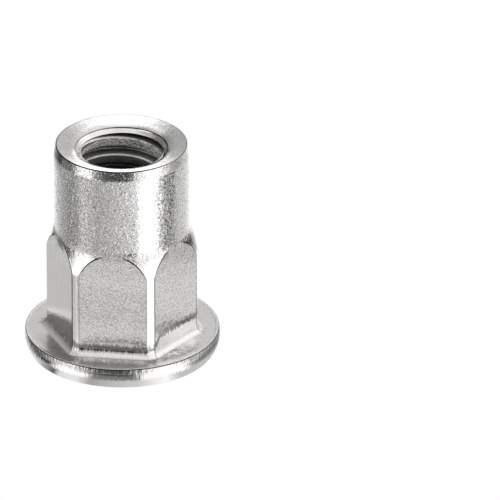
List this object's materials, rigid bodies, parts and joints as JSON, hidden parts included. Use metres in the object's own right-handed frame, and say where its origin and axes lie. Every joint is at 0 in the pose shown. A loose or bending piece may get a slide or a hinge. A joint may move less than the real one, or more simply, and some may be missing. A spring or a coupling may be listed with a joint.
{
  "type": "rivet nut",
  "caption": "Half-hexagon rivet nut with a flat round head, a hexagonal socket through the head and an internal screw thread in the round end.",
  "frame": {"origin": "centre of the head's outer face", "axes": "+Z along the axis from the head to the threaded end, one flat of the body faces -Y"},
  "size_m": [0.013, 0.013, 0.015],
  "materials": {
    "steel": "bright satin with a fine sandy grain"
  },
  "bodies": {
    "root": {"rivet_nut": "steel"}
  },
  "joints": []
}
